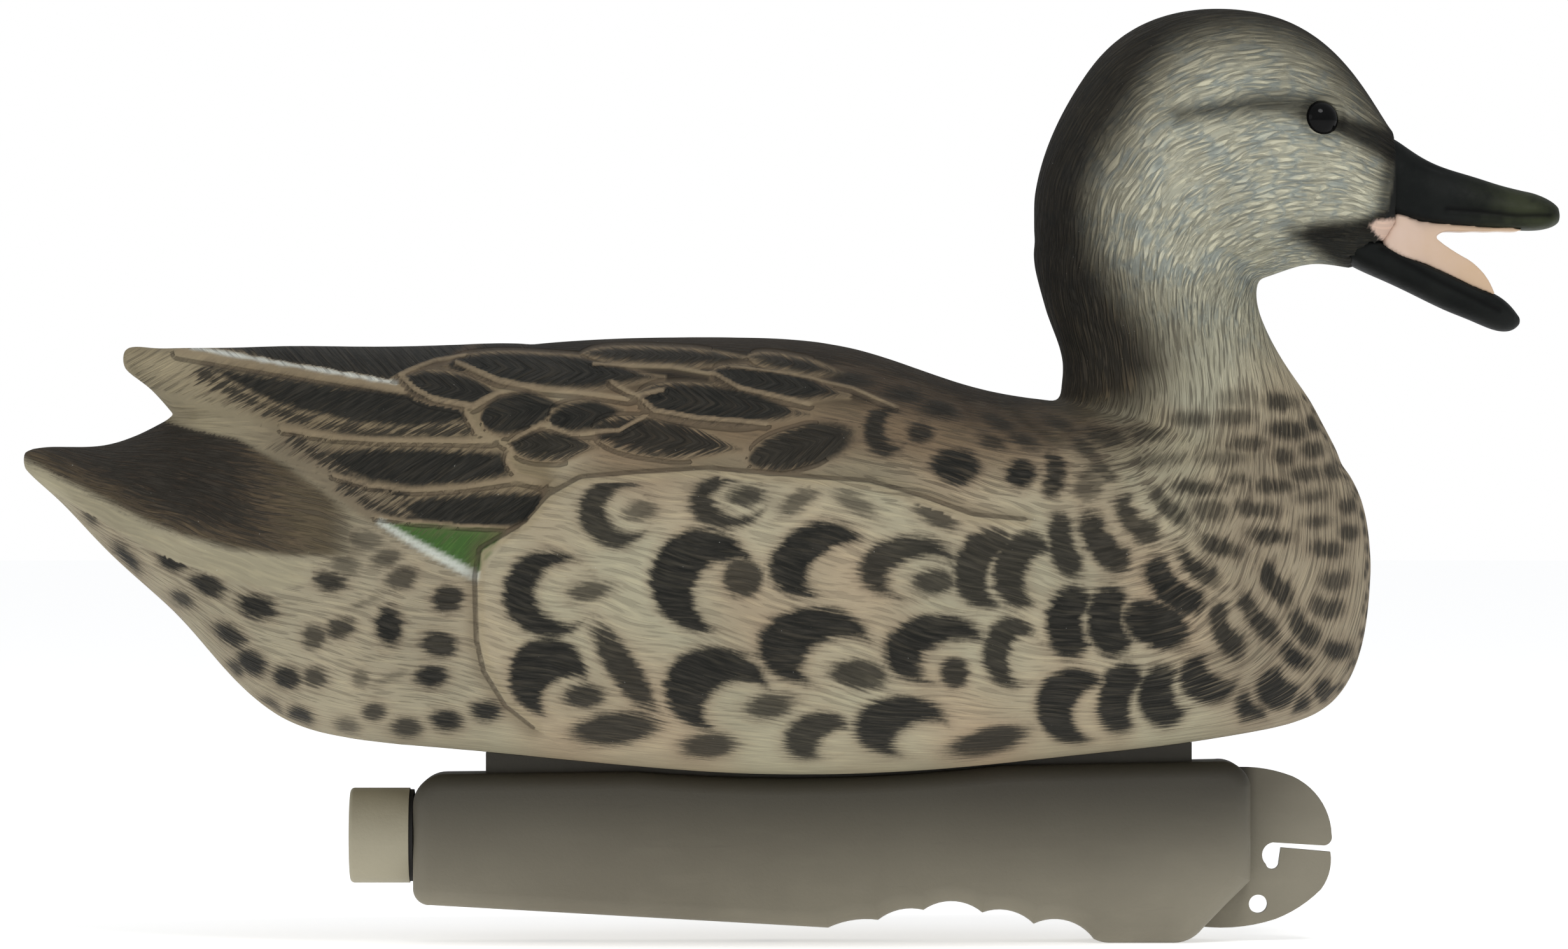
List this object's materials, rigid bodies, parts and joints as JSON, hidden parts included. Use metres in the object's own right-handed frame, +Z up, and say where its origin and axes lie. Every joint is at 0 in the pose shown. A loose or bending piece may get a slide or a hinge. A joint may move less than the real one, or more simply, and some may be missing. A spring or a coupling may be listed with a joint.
{
  "type": "floating duck decoy",
  "caption": "Hollow floating hen duck decoy with a separate head, open bill, glossy eyes and a sand-weighted keel closed by a screw cap.",
  "frame": {"origin": "under the middle of the decoy's bounding box, at the keel's flat foot", "axes": "+X from tail to bill, +Y to the bird's left, +Z up"},
  "size_m": [0.357, 0.1332, 0.2167],
  "materials": {
    "painted_hull": "matte airbrushed paint on moulded plastic",
    "painted_head": "matte airbrushed paint on moulded plastic",
    "bill_plastic": "satin dark paint",
    "mouth_pink": "glossy pink paint",
    "eye_gloss": "polished black",
    "keel_plastic": "matte moulded grey-tan",
    "cap_plastic": "matte moulded grey-tan",
    "seal_rubber": "dark brown rubber",
    "sand": "dry sand",
    "screw_steel": "zinc-plated"
  },
  "bodies": {
    "decoy": {"hull_shell": "painted_hull", "head_shell": "painted_head", "upper_bill": "bill_plastic", "lower_bill": "bill_plastic", "mouth_insert": "mouth_pink", "eye_right": "eye_gloss", "eye_left": "eye_gloss", "neck_seal": "seal_rubber", "keel_shell": "keel_plastic", "keel_ballast": "sand", "keel_screws": "screw_steel", "screw_washers": "seal_rubber", "vent_plug": "keel_plastic"},
    "gasket": {"cap_gasket": "seal_rubber"},
    "cap": {"keel_cap": "cap_plastic"}
  },
  "joints": [
    {"name": "cap_turn", "type": "hinge", "parent": "decoy", "child": "gasket", "pos_m": [-0.0955, 0, 0.02455], "axis": [-1, 0, 0], "range_deg": [0, 1080]},
    {"name": "cap_unscrew", "type": "slide", "parent": "gasket", "child": "cap", "axis": [-1, 0, 0], "range_m": [0, 0.0121]}
  ],
  "couplings": [
    {"joint": "cap_unscrew", "follows": "cap_turn", "m_per_rad": 0.00063662}
  ]
}
